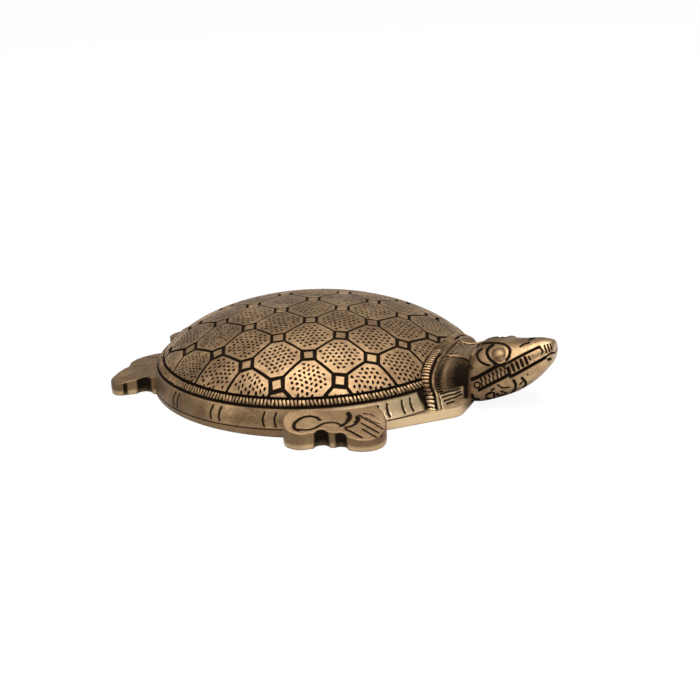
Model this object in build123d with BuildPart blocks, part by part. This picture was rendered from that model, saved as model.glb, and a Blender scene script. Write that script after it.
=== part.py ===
from build123d import *
import math
import os

# A cast brass tortoise. Its head points along +X, its left side lies toward +Y and its
# flat underside is the plane Z = 0. All lengths are in millimetres.

# the shell's rim, seen from above, is an ellipse a little ahead of the origin
shell_length = 123.0
shell_width = 117.0
shell_centre = 1.5
seam_height = 2.5          # underside to seam at the origin
seam_tilt_degrees = 1.2    # the seam rises toward the head
band_height = 7.0          # plain band between the seam and the rope border
band_lean = 2.9
band_swell = 0.5
rope_height = 2.8          # rope border between the band and the dome
rope_lean = 2.8
rope_swell = 0.5
dome_rise = 16.8           # dome above the rope border
dome_fullness_share = 2.3
dome_roundness_share = 0.8
apex_shift = 3.0           # the dome's top lies this far back of its middle
shell_wall = 3.0

# the collar is an arch that closes the front of the shell round the neck
collar_place_share = 0.88   # of the shell's half length, ahead of its centre, at the foot
collar_lean_degrees = 12.4   # its top leans back over the shell
collar_half_width = 26.6
collar_height = 18.0
collar_leg = 8.4
collar_splay_share = 0.45  # the arch's legs spread this much of their height toward the foot
collar_band_width = 3.3
ridge_width = 2.2
ridge_step = 1.3

# neck: a tenon inside the shell, then a waist that flares into the collar's ridge
tenon_half_width = 10.0
tenon_bottom = 5.0
tenon_top = 10.8
tenon_reach = 6.0
tenon_round = 2.0
flare_inset = 2.1
flare_drop = 0.4
waist_length = 3.4
waist_half_width = 15.4
waist_height = 17.2
neck_length = 4.6
neck_half_width = 13.6
neck_height = 19.8

# head: stations ahead of the neck with their half width, underside and crown
head_stations = [
    (0.0, 15.0, 1.0, 20.0),
    (2.7, 15.4, 1.0, 21.4),
    (9.2, 13.4, 2.7, 22.2),
    (16.2, 10.6, 5.7, 23.0),
    (22.7, 7.4, 10.5, 24.0),
    (27.7, 4.6, 16.2, 23.7),
]
# half of the head's section, as shares of its half width and of its height
head_section_shares = [(0.5, 0.01), (0.9, 0.16), (1.0, 0.42), (0.87, 0.7), (0.5, 0.92)]
eye_forward = 9.6
eye_out = 6.2
eye_height = 17.8
eye_radius = 3.6
mouth_back = (2.8, 15.2, 9.0)
mouth_front = (25.2, 5.2, 20.8)
mouth_height = 3.6
mouth_cut_width = 0.8
mouth_cut_depth = 0.7

# plastron, the plate under the shell, with a tongue under the neck
throat_turn = 45.0         # degrees round the rim to where the tongue leaves it
throat_round = 6.0
underside_round = 0.6

# flippers: each sits on the rim and is held by a tongue that passes under the shell's wall
front_right_turn = 60.0    # degrees from the head, round the rim
front_left_turn = -84.0    # a walking pose: this one is further back
rear_right_turn = 156.0
rear_left_turn = -156.0
front_flipper_outline = [
    (-8.0, -17.5), (0.0, -19.6), (5.8, -19.0), (8.9, -15.2), (8.0, -10.0), (6.9, -6.4),
    (8.3, -4.8), (9.1, -2.4), (11.9, 0.6), (14.7, 4.6), (15.3, 9.9), (12.6, 14.7),
    (7.0, 16.7), (0.0, 15.8), (-8.0, 12.0),
]
rear_flipper_outline = [
    (-6.0, -18.0), (0.6, -18.2), (5.2, -16.6), (8.9, -13.4), (10.8, -8.4), (14.0, -2.2),
    (15.9, 4.4), (14.0, 9.8), (9.9, 10.6), (7.0, 9.2), (3.5, 10.0), (-6.0, 12.0),
]
flipper_root_height = 8.4
flipper_outer_height = 4.8
flipper_slope_run = 13.0
hollow_radius = 1.9
front_hollows = [(7.6, -7.4), (10.2, -1.4)]
rear_hollows = [(5.4, 9.9)]
tongue_width = 15.0
tongue_height = 3.0
tongue_reach = 5.0

seat_gap = 0.1             # brazing gap between two seated pieces
overrun = 20.0

rim_radius = shell_length / 2
rope_radius = rim_radius - band_lean
dome_radius = rope_radius - rope_lean
dome_base = band_height + rope_height
width_share = shell_width / shell_length
collar_back = shell_centre + collar_place_share * rim_radius
collar_lean = math.radians(collar_lean_degrees)
collar_front = collar_back + (collar_band_width + ridge_width) / math.cos(collar_lean)
head_back = collar_front + neck_length
throat_front = head_back - seat_gap
flare_half_width = collar_half_width - ridge_step - flare_inset
flare_height = collar_height - ridge_step - flare_drop
neck_stations = [
    (collar_front, collar_lean, flare_half_width, flare_height),
    (collar_front + waist_length, collar_lean / 2, waist_half_width, waist_height),
    (head_back, 0, neck_half_width, neck_height),
]
flipper_turns = (front_right_turn, front_left_turn, rear_right_turn, rear_left_turn)

seam = Plane.XY.offset(seam_height).rotated((0, -seam_tilt_degrees, 0))
shell_frame = Plane(
    origin=seam.from_local_coords((shell_centre, 0, 0)), x_dir=seam.x_dir, z_dir=seam.z_dir
)
profile_plane = Plane(
    origin=shell_frame.origin, x_dir=shell_frame.x_dir, z_dir=-shell_frame.y_dir
)
shell_axis = Axis(shell_frame.origin, shell_frame.z_dir)


def dome_curve(radius, base, rise):
    """Reach and height of the dome's level sections, from its edge to its top."""
    points = []
    for angle in (90, 80, 70, 60, 50, 40, 30, 20, 10, 5):
        reach_share = math.sin(math.radians(angle))
        height_share = (1 - reach_share**dome_fullness_share) ** dome_roundness_share
        points.append((radius * reach_share, base + rise * height_share))
    return points


def bulged(start, end, swell):
    """The middle of a line, pushed outward by the swell."""
    run = math.hypot(end[0] - start[0], end[1] - start[1])
    return (
        (start[0] + end[0]) / 2 + swell * (end[1] - start[1]) / run,
        (start[1] + end[1]) / 2 + swell * (start[0] - end[0]) / run,
    )


def outer_profile(grow):
    """The shell's outer line from the seam to the dome's edge, grown by a gap."""
    rim = (rim_radius + grow, 0)
    rope_foot = (rope_radius + grow, band_height)
    rope_top = (dome_radius + grow, dome_base)
    ThreePointArc(rim, bulged(rim, rope_foot, band_swell), rope_foot)
    ThreePointArc(rope_foot, bulged(rope_foot, rope_top, rope_swell), rope_top)


def dome_sections(radius, base, rise):
    """Level ellipses of a dome, each smaller one further back."""
    sections = []
    for reach, height in dome_curve(radius, base, rise):
        with BuildSketch(shell_frame.offset(height)) as section:
            with Locations((-apex_shift * (1 - (reach / radius) ** 2), 0)):
                Ellipse(reach, reach * width_share)
        sections.append(section.sketch)
    return sections


def arch(half_width, height, leg, bottom):
    """An arch with splayed legs and an elliptical crown."""
    foot = half_width + collar_splay_share * (leg - bottom)
    with BuildLine() as outline:
        EllipticalCenterArc((0, leg), half_width, height - leg, start_angle=0, arc_size=180)
        Polyline((-half_width, leg), (-foot, bottom), (foot, bottom), (half_width, leg))
    make_face(outline.edges())


def opening(half_width, height, leg):
    """The shell's open front: an arch above, the whole width of the shell below its legs."""
    wide = shell_width / 2
    with BuildLine() as outline:
        EllipticalCenterArc((0, leg), half_width, height - leg, start_angle=0, arc_size=180)
        Polyline(
            (-half_width, leg), (-wide, leg), (-wide, -overrun),
            (wide, -overrun), (wide, leg), (half_width, leg),
        )
    make_face(outline.edges())


def neck_plane(place, lean):
    """An upright plane across the neck whose top leans back toward the tail."""
    return Plane(
        origin=(place, 0, 0), x_dir=(0, 1, 0), z_dir=(math.cos(lean), 0, math.sin(lean))
    )


def rim_plane(turn, height):
    """A level plane at a point of the rim, its X pointing straight out of the shell."""
    across = shell_width / 2
    turn_cos = math.cos(math.radians(turn))
    turn_sin = math.sin(math.radians(turn))
    return Plane(
        origin=(shell_centre + rim_radius * turn_cos, -across * turn_sin, height),
        x_dir=(turn_cos / rim_radius, -turn_sin / across, 0),
        z_dir=(0, 0, 1),
    )


def seam_plane(turn, lift):
    """The same point of the rim, on the tilted seam or lifted above it."""
    level = rim_plane(turn, 0)
    return Plane(
        origin=seam.from_local_coords((level.origin.X, level.origin.Y, lift)),
        x_dir=seam.x_dir * level.x_dir.X + seam.y_dir * level.x_dir.Y,
        z_dir=seam.z_dir,
    )


def rim_outline():
    """The plate's outline: the rim's ellipse, left by straight sides that meet under the neck."""
    with BuildLine() as outline:
        rim = EllipticalCenterArc(
            (shell_centre, 0), rim_radius, shell_width / 2,
            start_angle=throat_turn, arc_size=360 - 2 * throat_turn,
        )
        root = rim @ 0
        along = rim % 0
        corner = root + along * (throat_front - root.X) / along.X
        FilletPolyline(
            root, corner, (corner.X, -corner.Y), (root.X, -root.Y), radius=throat_round
        )
    make_face(outline.edges())


def tenon_section(grow):
    """The neck's tenon, cut across."""
    with Locations((0, (tenon_bottom + tenon_top) / 2)):
        RectangleRounded(
            2 * (tenon_half_width + grow),
            tenon_top - tenon_bottom + 2 * grow,
            tenon_round + grow,
        )


def head_section(half_width, underside, crown):
    """The head, cut across."""
    rise = crown - underside
    side = [(half_width * out, underside + rise * up) for out, up in head_section_shares]
    other = [(-y, z) for y, z in reversed(side)]
    with BuildLine() as outline:
        Spline([(0, underside), *side, (0, crown), *other], periodic=True)
    make_face(outline.edges())


# the outer form of the shell's side, used to cut what sits against it
with BuildPart() as shell_form:
    with BuildSketch(profile_plane):
        with BuildLine():
            outer_profile(seat_gap)
            Polyline(
                (dome_radius + seat_gap, dome_base),
                (0, dome_base),
                (0, -overrun),
                (rim_radius + seat_gap, -overrun),
                (rim_radius + seat_gap, 0),
            )
        make_face()
    revolve(axis=shell_axis)
    scale(by=(1, width_share, 1))

# the hollow inside the shell, under the dome
with BuildPart() as hollow:
    loft(
        dome_sections(
            dome_radius - shell_wall, band_height, rope_height + dome_rise - shell_wall
        )
    )

# carapace: the hollow domed shell with its plain band and rope border
with BuildPart() as carapace:
    with BuildSketch(profile_plane):
        with BuildLine():
            outer_profile(0)
            Polyline(
                (dome_radius, dome_base),
                (0, dome_base),
                (0, band_height),
                (dome_radius - shell_wall, band_height),
                (rim_radius - shell_wall, 0),
                (rim_radius, 0),
            )
        make_face()
    revolve(axis=shell_axis)
    scale(by=(1, width_share, 1))
    loft(dome_sections(dome_radius, dome_base, dome_rise))
    add(hollow.part, mode=Mode.SUBTRACT)
    # the arched opening that the collar closes
    with BuildSketch(neck_plane(collar_back, collar_lean).offset(-seat_gap)):
        opening(collar_half_width + seat_gap, collar_height + seat_gap, collar_leg)
    extrude(amount=overrun, mode=Mode.SUBTRACT)
    # a notch under the wall for each flipper's tongue
    for turn in flipper_turns:
        with BuildSketch(seam_plane(turn, -overrun)):
            Rectangle(overrun, tongue_width + 2 * seat_gap)
        extrude(amount=overrun + tongue_height + seat_gap, mode=Mode.SUBTRACT)

# plastron: the plate under the shell, flat below, its top face on the tilted seam
with BuildPart() as plastron:
    with BuildSketch():
        rim_outline()
    extrude(amount=overrun)
    split(bisect_by=seam, keep=Keep.BOTTOM)
    fillet(plastron.faces().sort_by(Axis.Z)[0].edges(), radius=underside_round)

# neck collar: the rope band's arch and the thin ridge in front of it
with BuildPart() as neck_collar:
    with BuildSketch(neck_plane(collar_back, collar_lean)):
        arch(collar_half_width, collar_height, collar_leg, 0)
    extrude(amount=collar_band_width)
    with BuildSketch(neck_plane(collar_back, collar_lean).offset(collar_band_width)):
        arch(collar_half_width - ridge_step, collar_height - ridge_step, collar_leg, 0)
    extrude(amount=ridge_width)
    split(bisect_by=seam.offset(seat_gap), keep=Keep.TOP)
    with BuildSketch(Plane.YZ.offset(collar_back - tenon_reach)):
        tenon_section(seat_gap)
    extrude(amount=overrun, mode=Mode.SUBTRACT)

# head: the neck's flare and tenon, then tapering sections with eyes and mouth
with BuildPart() as head:
    for place, lean, half_width, height in neck_stations:
        with BuildSketch(neck_plane(place, lean)):
            arch(half_width, height, collar_leg, 0)
    loft()
    split(bisect_by=seam.offset(seat_gap), keep=Keep.TOP)
    with BuildSketch(Plane.YZ.offset(collar_back - tenon_reach)):
        tenon_section(0)
    extrude(amount=tenon_reach + collar_front - collar_back + waist_length)
    for station, half_width, underside, crown in head_stations:
        with BuildSketch(Plane.YZ.offset(head_back + station)):
            head_section(half_width, underside, crown)
    loft()
    for side in (1, -1):
        with Locations((head_back + eye_forward, side * eye_out, eye_height)):
            Sphere(eye_radius)
        back, front = (
            Vector(head_back + x, side * y, z) for x, y, z in (mouth_back, mouth_front)
        )
        along = front - back
        cheek = Plane(
            origin=(back + front) / 2, x_dir=along, z_dir=(-side * along.Y, side * along.X, 0)
        )
        for lip in (mouth_height / 2, -mouth_height / 2):
            with BuildSketch(cheek.offset(-mouth_cut_depth)):
                with Locations((0, lip)):
                    Rectangle(along.length, mouth_cut_width)
            extrude(amount=overrun, mode=Mode.SUBTRACT)


def flipper(turn, outline, hollows):
    """A right flipper: a plate that slopes down from the shell, with a tongue under its wall."""
    ground = rim_plane(turn, 0)
    drop = flipper_root_height - flipper_outer_height
    slope = Plane(
        origin=ground.origin + ground.z_dir * flipper_root_height,
        x_dir=ground.x_dir * flipper_slope_run - ground.z_dir * drop,
        z_dir=ground.z_dir * flipper_slope_run + ground.x_dir * drop,
    )
    with BuildPart() as piece:
        with BuildSketch(ground):
            with BuildLine() as edge:
                rim_curve = Spline(outline)
                Line(rim_curve @ 1, rim_curve @ 0)
            make_face(edge.edges())
        extrude(amount=overrun)
        split(bisect_by=slope, keep=Keep.BOTTOM)
        with BuildSketch(ground):
            with Locations(*hollows):
                Circle(hollow_radius)
        extrude(amount=overrun, mode=Mode.SUBTRACT)
        add(shell_form.part, mode=Mode.SUBTRACT)
        with BuildSketch(seam_plane(turn, seat_gap)):
            with Locations((-tongue_reach / 2, 0)):
                Rectangle(tongue_reach + 2 * shell_wall, tongue_width)
        extrude(amount=tongue_height - seat_gap)
    return piece.part


front_right = flipper(front_right_turn, front_flipper_outline, front_hollows)
# a left flipper is a right one mirrored
front_left = mirror(
    flipper(-front_left_turn, front_flipper_outline, front_hollows), about=Plane.XZ
)
rear_right = flipper(rear_right_turn, rear_flipper_outline, rear_hollows)
rear_left = mirror(
    flipper(-rear_left_turn, rear_flipper_outline, rear_hollows), about=Plane.XZ
)

pieces = {
    "carapace": carapace.part,
    "plastron": plastron.part,
    "neck_collar": neck_collar.part,
    "head": head.part,
    "front_right_flipper": front_right,
    "front_left_flipper": front_left,
    "rear_right_flipper": rear_right,
    "rear_left_flipper": rear_left,
}
os.makedirs("parts", exist_ok=True)
for name, piece in pieces.items():
    piece.label = name
    export_step(piece, f"parts/{name}.step")
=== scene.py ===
import math
import random
import bpy
import numpy as np
from mathutils import Matrix, Vector


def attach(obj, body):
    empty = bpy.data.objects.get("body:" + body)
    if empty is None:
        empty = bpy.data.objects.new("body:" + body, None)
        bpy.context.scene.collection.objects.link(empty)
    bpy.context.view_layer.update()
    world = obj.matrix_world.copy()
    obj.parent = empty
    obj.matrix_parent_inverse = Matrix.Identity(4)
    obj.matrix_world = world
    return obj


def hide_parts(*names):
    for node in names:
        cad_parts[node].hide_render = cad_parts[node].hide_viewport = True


# Cast brass turtle. Lengths in the dictionaries are millimetres, and settle() brings a
# finished mesh to metres.
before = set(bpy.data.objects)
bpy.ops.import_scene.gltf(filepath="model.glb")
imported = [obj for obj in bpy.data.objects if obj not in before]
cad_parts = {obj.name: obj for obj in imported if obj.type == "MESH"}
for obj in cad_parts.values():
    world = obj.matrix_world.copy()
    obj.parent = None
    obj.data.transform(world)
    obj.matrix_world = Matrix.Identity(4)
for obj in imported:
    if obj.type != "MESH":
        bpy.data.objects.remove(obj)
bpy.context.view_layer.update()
mm = 0.001
rand = random.Random(11)
upward = Vector((0, 0, 1))


def pick(*pieces):
    bpy.ops.object.select_all(action="DESELECT")
    for piece in pieces:
        piece.select_set(True)
    bpy.context.view_layer.objects.active = pieces[0]


def startEdit(piece, action="SELECT"):
    pick(piece)
    bpy.ops.object.mode_set(mode="EDIT")
    bpy.ops.mesh.select_all(action=action)


def endEdit():
    bpy.ops.mesh.select_all(action="SELECT")
    bpy.ops.mesh.normals_make_consistent(inside=False)
    bpy.ops.object.mode_set(mode="OBJECT")


def named(name):
    piece = bpy.context.object
    piece.name = piece.data.name = name
    return piece


def copyOf(source):
    piece = source.copy()
    piece.data = source.data.copy()
    bpy.context.scene.collection.objects.link(piece)
    return piece


def joined(pieces, name):
    pick(*pieces)
    bpy.ops.object.join()
    return named(name)


def discard(*pieces):
    for piece in pieces:
        bpy.data.objects.remove(piece)


def applyAll(piece):
    pick(piece)
    for modifier in list(piece.modifiers):
        bpy.ops.object.modifier_apply(modifier=modifier.name)


def cutAway(piece, cutters):
    for cutter in cutters:
        cut = piece.modifiers.new("cut", "BOOLEAN")
        cut.operation, cut.object, cut.solver = "DIFFERENCE", cutter, "EXACT"
    applyAll(piece)


def points(piece):
    flat = np.zeros(len(piece.data.vertices) * 3)
    piece.data.vertices.foreach_get("co", flat)
    return flat.reshape(-1, 3)


def setPoints(piece, places):
    piece.data.vertices.foreach_set("co", np.asarray(places, float).ravel())
    piece.data.update()


def normals(piece):
    flat = np.zeros(len(piece.data.vertices) * 3, np.float32)
    piece.data.vertex_normals.foreach_get("vector", flat)
    return flat.reshape(-1, 3).astype(float)


def coat(piece, layerName, values):
    # the patina layer runs from 0, bright, to 1, grime, and also carries painted shade in the cove, on
    # the cheek, at the band's tail and in the flipper hollows; the wear layer is 1 where handling has
    # polished, and also carries painted highlights on the jaw, the neck's lower facet and the band near
    # the neck
    layers = piece.data.attributes
    layer = layers.get(layerName) or layers.new(layerName, "FLOAT", "POINT")
    layer.data.foreach_set("value", np.clip(values, 0, 1).astype(np.float32))


def patinaAndShade(piece):
    values = np.zeros(len(piece.data.vertices), np.float32)
    layer = piece.data.attributes.get("patinaAndShade")
    if layer:
        layer.data.foreach_get("value", values)
    return values.astype(float)


def ease(share):
    share = np.clip(share, 0, 1)
    return share * share * (3 - 2 * share)


def rising(value, start, run):
    return ease((value - start) / run)


def falling(value, end, run):
    return ease((end - value) / run)


def axes(*directions):
    return Matrix(directions).transposed().to_4x4()


def spun(degrees):
    return Matrix.Rotation(math.radians(degrees), 4, "Z")


def scaled(*sizes):
    return Matrix.Diagonal((*sizes, 1))


def runAlong(path):
    # the way from the path's start to each of its points
    return np.concatenate([[0], np.cumsum(np.linalg.norm(np.diff(path, axis=0), axis=1))])


def smoothPath(knots, at):
    # cubic curve through the knots, whose first column is the run
    knots, at = np.asarray(knots, float), np.asarray(at, float)
    run, values = knots[:, 0], knots[:, 1:]
    slopes = np.gradient(values, run, axis=0)
    k = np.clip(np.searchsorted(run, at) - 1, 0, len(run) - 2)
    h = (run[k + 1] - run[k])[:, None]
    t = (at - run[k])[:, None] / h
    return ((2 * t**3 - 3 * t**2 + 1) * values[k] + (t**3 - 2 * t**2 + t) * h * slopes[k]
            + (3 * t**2 - 2 * t**3) * values[k + 1] + (t**3 - t**2) * h * slopes[k + 1])


def sweptForm(name, sections):
    # a grid rolled round the given closed sections, with its seam merged and ends filled
    rows, columns = sections.shape[:2]
    bpy.ops.mesh.primitive_grid_add(x_subdivisions=columns, y_subdivisions=rows - 1, size=2)
    form = named(name)
    around = np.arange(columns + 1) % columns
    setPoints(form, sections[:, around].reshape(-1, 3))
    startEdit(form)
    bpy.ops.mesh.remove_doubles(threshold=0.0005)
    bpy.ops.mesh.select_all(action="SELECT")
    bpy.ops.mesh.fill_holes(sides=0)
    endEdit()
    return form


def prism(name, outline, push):
    # a flat outline of 3-D points, pushed along a direction
    bpy.ops.mesh.primitive_circle_add(vertices=len(outline), radius=1, fill_type="NGON")
    form = named(name)
    setPoints(form, outline)
    startEdit(form)
    bpy.ops.mesh.extrude_region_move(TRANSFORM_OT_translate={"value": push})
    endEdit()
    return form


def oneSkin(piece, voxel, soften):
    # separate forms become one casting with softened edges
    skin = piece.modifiers.new("skin", "REMESH")
    skin.mode, skin.voxel_size = "VOXEL", voxel
    softer = piece.modifiers.new("softer", "SMOOTH")
    softer.factor, softer.iterations = 0.5, soften
    applyAll(piece)
    return piece


def nearStroke(places, line):
    # distance from each point to a line through the given places
    best = np.full(len(places), 1e9)
    for start, end in zip(line[:-1], line[1:]):
        run = end - start
        share = np.clip(((places - start) @ run) / max(run @ run, 1e-9), 0, 1)
        best = np.minimum(best, np.linalg.norm(places - start - share[:, None] * run, axis=1))
    return best


def strokeCuts(probe, strokes, fade, seen=True):
    # how deep and how dark the strokes (half width, depth, line) make each point of probe
    cut, dark = np.zeros((2, len(probe)))
    for halfWidth, depth, line in strokes:
        line = np.asarray(line, float)
        if len(line) == 1:
            line = np.vstack([line, line + 0.01])
        reach = 2 * halfWidth
        inside = (probe > line.min(axis=0) - reach) & (probe < line.max(axis=0) + reach)
        near = seen & np.all(inside, axis=1)
        away = nearStroke(probe[near], line) / halfWidth
        cut[near] = np.maximum(cut[near], depth * np.clip(1 - away**2, 0, 1))
        dark[near] = np.maximum(dark[near], np.clip(fade - away, 0, 1))
    return cut, dark


def carve(piece, cut, dark):
    setPoints(piece, points(piece) - normals(piece) * cut[:, None])
    coat(piece, "patinaAndShade", np.maximum(patinaAndShade(piece), dark))


def engrave(piece, strokes, bothSides=False):
    probe = points(piece)
    if bothSides:
        probe[:, 1] = -np.abs(probe[:, 1])
    carve(piece, *strokeCuts(probe, strokes, 1.45))


def dropOnto(piece, strokes):
    # strokes given without a height are laid down onto the piece's top
    places = points(piece)

    def laid(spot):
        if len(spot) == 3:
            return spot
        away = np.hypot(places[:, 0] - spot[0], places[:, 1] - spot[1])
        return (*spot, places[np.argmin(away - 0.01 * places[:, 2]), 2])

    return [(halfWidth, depth, [laid(spot) for spot in line]) for halfWidth, depth, line in strokes]


# the camera of the picture
cameraLook = {
    "place": (0.233881, -0.511169, 0.211035),
    "right": (0.9147547, 0.4030765, 0.0274438),
    "up": (-0.1587932, 0.2962458, 0.9418191),
    "back": (0.3714950, -0.8658913, 0.3349981),
    "rollDegrees": 4.137,
    "lens": 82.06,
    "sensor": 36,
    "shift": (0.0026, -0.0037),
    "clip": (0.01, 20),
}


def setCamera(look):
    lens = bpy.data.cameras.new("pictureCamera")
    camera = bpy.data.objects.new("pictureCamera", lens)
    bpy.context.scene.collection.objects.link(camera)
    turn = axes(look["right"], look["up"], look["back"]) @ spun(-look["rollDegrees"])
    camera.matrix_world = Matrix.Translation(look["place"]) @ turn
    lens.sensor_width = look["sensor"]
    lens.lens = look["lens"]
    lens.shift_x, lens.shift_y = look["shift"]
    lens.clip_start, lens.clip_end = look["clip"]
    bpy.context.scene.camera = camera


setCamera(cameraLook)
print("camera set")


def graph(owner):
    # empties the owner's node tree and gives back the function that adds a node to it
    owner.use_nodes = True
    tree = owner.node_tree
    tree.nodes.clear()

    def add(kind, inputs, **settings):
        made = tree.nodes.new("ShaderNode" + kind)
        for name, value in settings.items():
            setattr(made, name, value)
        for name, value in inputs.items():
            if isinstance(value, bpy.types.NodeSocket):
                tree.links.new(value, made.inputs[name])
            else:
                made.inputs[name].default_value = value
        return made

    return add


# floor, world and lamps
stageLook = {
    "floorSize": 6.0,
    "floorGrey": 0.62,
    "shownWhite": 0.87,     # share of plain white that the camera sees on the floor
    "whiteStrength": 1.06,
    "worldStrength": 0.42,
    "lamps": [
        # name, place, aims at, size, watts
        ("skyPanel", (0.05, -0.1, 0.9), (0, 0, 0.01), 1.1, 15.0),
        ("frontPanel", (0.62, -0.62, 0.12), (0.03, 0, 0.01), 0.3, 2.1),
        ("sidePanel", (-0.7, -0.5, 0.5), (0, 0, 0.01), 0.5, 1.5),
    ],
}


def setStage(look):
    white = (1, 1, 1, 1)
    bpy.ops.mesh.primitive_plane_add(size=look["floorSize"], location=(0, 0, 0))
    floor = named("studioFloor")
    paint = bpy.data.materials.new("paleFloor")
    add = graph(paint)
    seen = add("LightPath", {}).outputs["Is Camera Ray"]
    share = add("Math", {0: seen, 1: look["shownWhite"]}, operation="MULTIPLY").outputs[0]
    matt = add("BsdfDiffuse", {"Color": (look["floorGrey"],) * 3 + (1,)}).outputs[0]
    shown = add("Emission", {"Color": white, "Strength": look["whiteStrength"]}).outputs[0]
    mix = add("MixShader", {"Fac": share, 1: matt, 2: shown}).outputs[0]
    add("OutputMaterial", {"Surface": mix})
    floor.data.materials.append(paint)

    world = bpy.data.worlds.new("studioWorld")
    bpy.context.scene.world = world
    add = graph(world)
    seen = add("LightPath", {}).outputs["Is Camera Ray"]
    soft = add("Background", {"Color": white, "Strength": look["worldStrength"]}).outputs[0]
    plain = add("Background", {"Color": white, "Strength": 1.0}).outputs[0]
    mix = add("MixShader", {"Fac": seen, 1: soft, 2: plain}).outputs[0]
    add("OutputWorld", {"Surface": mix})

    for name, place, aim, size, watts in look["lamps"]:
        lamp = bpy.data.lights.new(name, "AREA")
        lamp.shape, lamp.size, lamp.energy = "DISK", size, watts
        holder = bpy.data.objects.new(name, lamp)
        bpy.context.scene.collection.objects.link(holder)
        holder.location = place
        holder.rotation_mode = "QUATERNION"
        holder.rotation_quaternion = (Vector(aim) - Vector(place)).to_track_quat("-Z", "Y")
    bpy.context.scene.view_settings.view_transform = "Standard"


setStage(stageLook)
print("stage set")

# antique brass
brassLook = {
    "bright": (0.46, 0.3, 0.155),
    "body": (0.275, 0.172, 0.088),
    "dull": (0.145, 0.085, 0.043),
    # near black: grime in the grooves and painted shade
    "grimeAndShade": (0.014, 0.008, 0.004),
    # polish from handling and painted highlights
    "polishAndSheen": (0.72, 0.54, 0.32),
    "toneStops": (0.34, 0.52, 0.68),
    "cloudScale": 95.0,
    "grainScale": 900.0,
    "castScale": 2600.0,
    "metal": 0.88,
    "specular": 0.3,
    "grimeRoughness": 0.85,
    "bumpStrength": 0.35,
    "bumpDepth": 0.0003,
}


def antiqueBrass(name, look, shine, warm=0.0, withPatinaAndShade=True):
    metal = bpy.data.materials.new(name)
    add = graph(metal)
    place = add("TexCoord", {}).outputs["Object"]

    def noise(scale, detail, rough):
        inputs = {"Scale": look[scale], "Detail": detail, "Roughness": rough, "Vector": place}
        return add("TexNoise", inputs).outputs["Fac"]

    def summed(value, factor, rest):
        return add("Math", {0: value, 1: factor, 2: rest}, operation="MULTIPLY_ADD").outputs[0]

    def mapped(value, limits):
        return add("MapRange", {"Value": value, **limits}).outputs["Result"]

    def covered(under, share, over):
        inputs = {"Factor": share, "A": under, "B": look[over] + (1,)}
        return add("Mix", inputs, data_type="RGBA").outputs["Result"]

    def painted(layerName):
        return add("Attribute", {}, attribute_name=layerName).outputs["Fac"]

    cloud = noise("cloudScale", 5, 0.6)
    grain = noise("grainScale", 3, 0.55)
    cast = noise("castScale", 2, 0.5)
    tone = add("ValToRGB", {"Fac": summed(grain, 0.35, summed(cloud, 0.65, 0.0))})
    low, middle, high = look["toneStops"]
    ramp = tone.color_ramp.elements
    ramp[0].position, ramp[0].color = low, look["dull"] + (1,)
    ramp[1].position, ramp[1].color = high, look["bright"] + (1,)
    ramp.new(middle - warm).color = look["body"] + (1,)
    colour = tone.outputs["Color"]
    if withPatinaAndShade:
        # polish from handling and painted highlights, then grime and painted shade, whose edge is broken
        # up a little by the grain
        colour = covered(colour, painted("wearAndSheen"), "polishAndSheen")
        edge = mapped(summed(grain, 0.35, painted("patinaAndShade")), {"From Min": 0.2, "From Max": 0.95})
        colour = covered(colour, edge, "grimeAndShade")
        rough = mapped(edge, {"To Min": shine, "To Max": look["grimeRoughness"]})
    else:
        # the flange grows lighter toward the neck
        along = add("SeparateXYZ", {"Vector": place}).outputs["X"]
        toNeck = mapped(along, {"From Min": 0.012, "From Max": 0.05, "To Max": 0.7})
        colour = covered(colour, toNeck, "polishAndSheen")
        rough = mapped(grain, {"To Min": shine - 0.06, "To Max": shine + 0.1})
    bump = add("Bump", {"Strength": look["bumpStrength"], "Distance": look["bumpDepth"],
                        "Height": summed(cast, 0.5, grain)}).outputs["Normal"]
    skin = add("BsdfPrincipled", {
        "Base Color": colour, "Roughness": rough, "Normal": bump,
        "Metallic": look["metal"], "Specular IOR Level": look["specular"]})
    add("OutputMaterial", {"Surface": skin.outputs[0]})
    return metal


shellBrass = antiqueBrass("shellBrass", brassLook, shine=0.4)
bandBrass = antiqueBrass("bandBrass", brassLook, shine=0.3, warm=0.02)
headBrass = antiqueBrass("headBrass", brassLook, shine=0.34)
flangeLook = {**brassLook, "bright": (0.3, 0.19, 0.098), "body": (0.18, 0.112, 0.058)}
plateBrass = antiqueBrass("plateBrass", flangeLook, shine=0.4, withPatinaAndShade=False)

# the shell's own frame: its seam lies a little tilted over the flat underside
shellLook = {
    "seamHeight": 2.5,
    "tiltDegrees": 1.2,
    "centre": 1.5,
    "rimRadius": 61.5,
    "widthShare": 117.0 / 123.0,
    "bandHeight": 7.0,
    "bandSwell": 0.5,
    "bandSteps": 17,
    "ropeRadius": 58.6,
    "domeRadius": 55.8,
    "domeBase": 9.8,
    "domeRise": 16.8,
    "fullness": 2.32,
    "roundness": 0.806,
    "apexShift": 3.0,
    "rearSwell": 1.5,        # the tail end stands a little fuller above the seam
    "wall": 3.0,
    "columns": 960,
    "engraved": 0.55,        # depth of the grooves between the shell's plates
    "domeShares": [0.985, 0.97, 0.95, 0.92, 0.88, 0.84, 0.78, 0.7, 0.6, 0.5, 0.4, 0.3, 0.2, 0.1,
                   0.02],
    "hollowShares": [0.97, 0.9, 0.8, 0.65, 0.5, 0.3, 0.05],
    # turns round the rim, degrees
    "ticks": [-49, -34, -31.5, -14, -10.5, 6, 10, 44.5, 47.8, 53.5, 56.8],
    "tickBendDegrees": 6.0,
    "tick": (0.42, 0.45),    # half width and depth
    "bandTailShade": 0.36,        # painted shade at the tail end
    "bandNeckHighlight": 0.75,      # painted highlight at the neck
}


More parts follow.
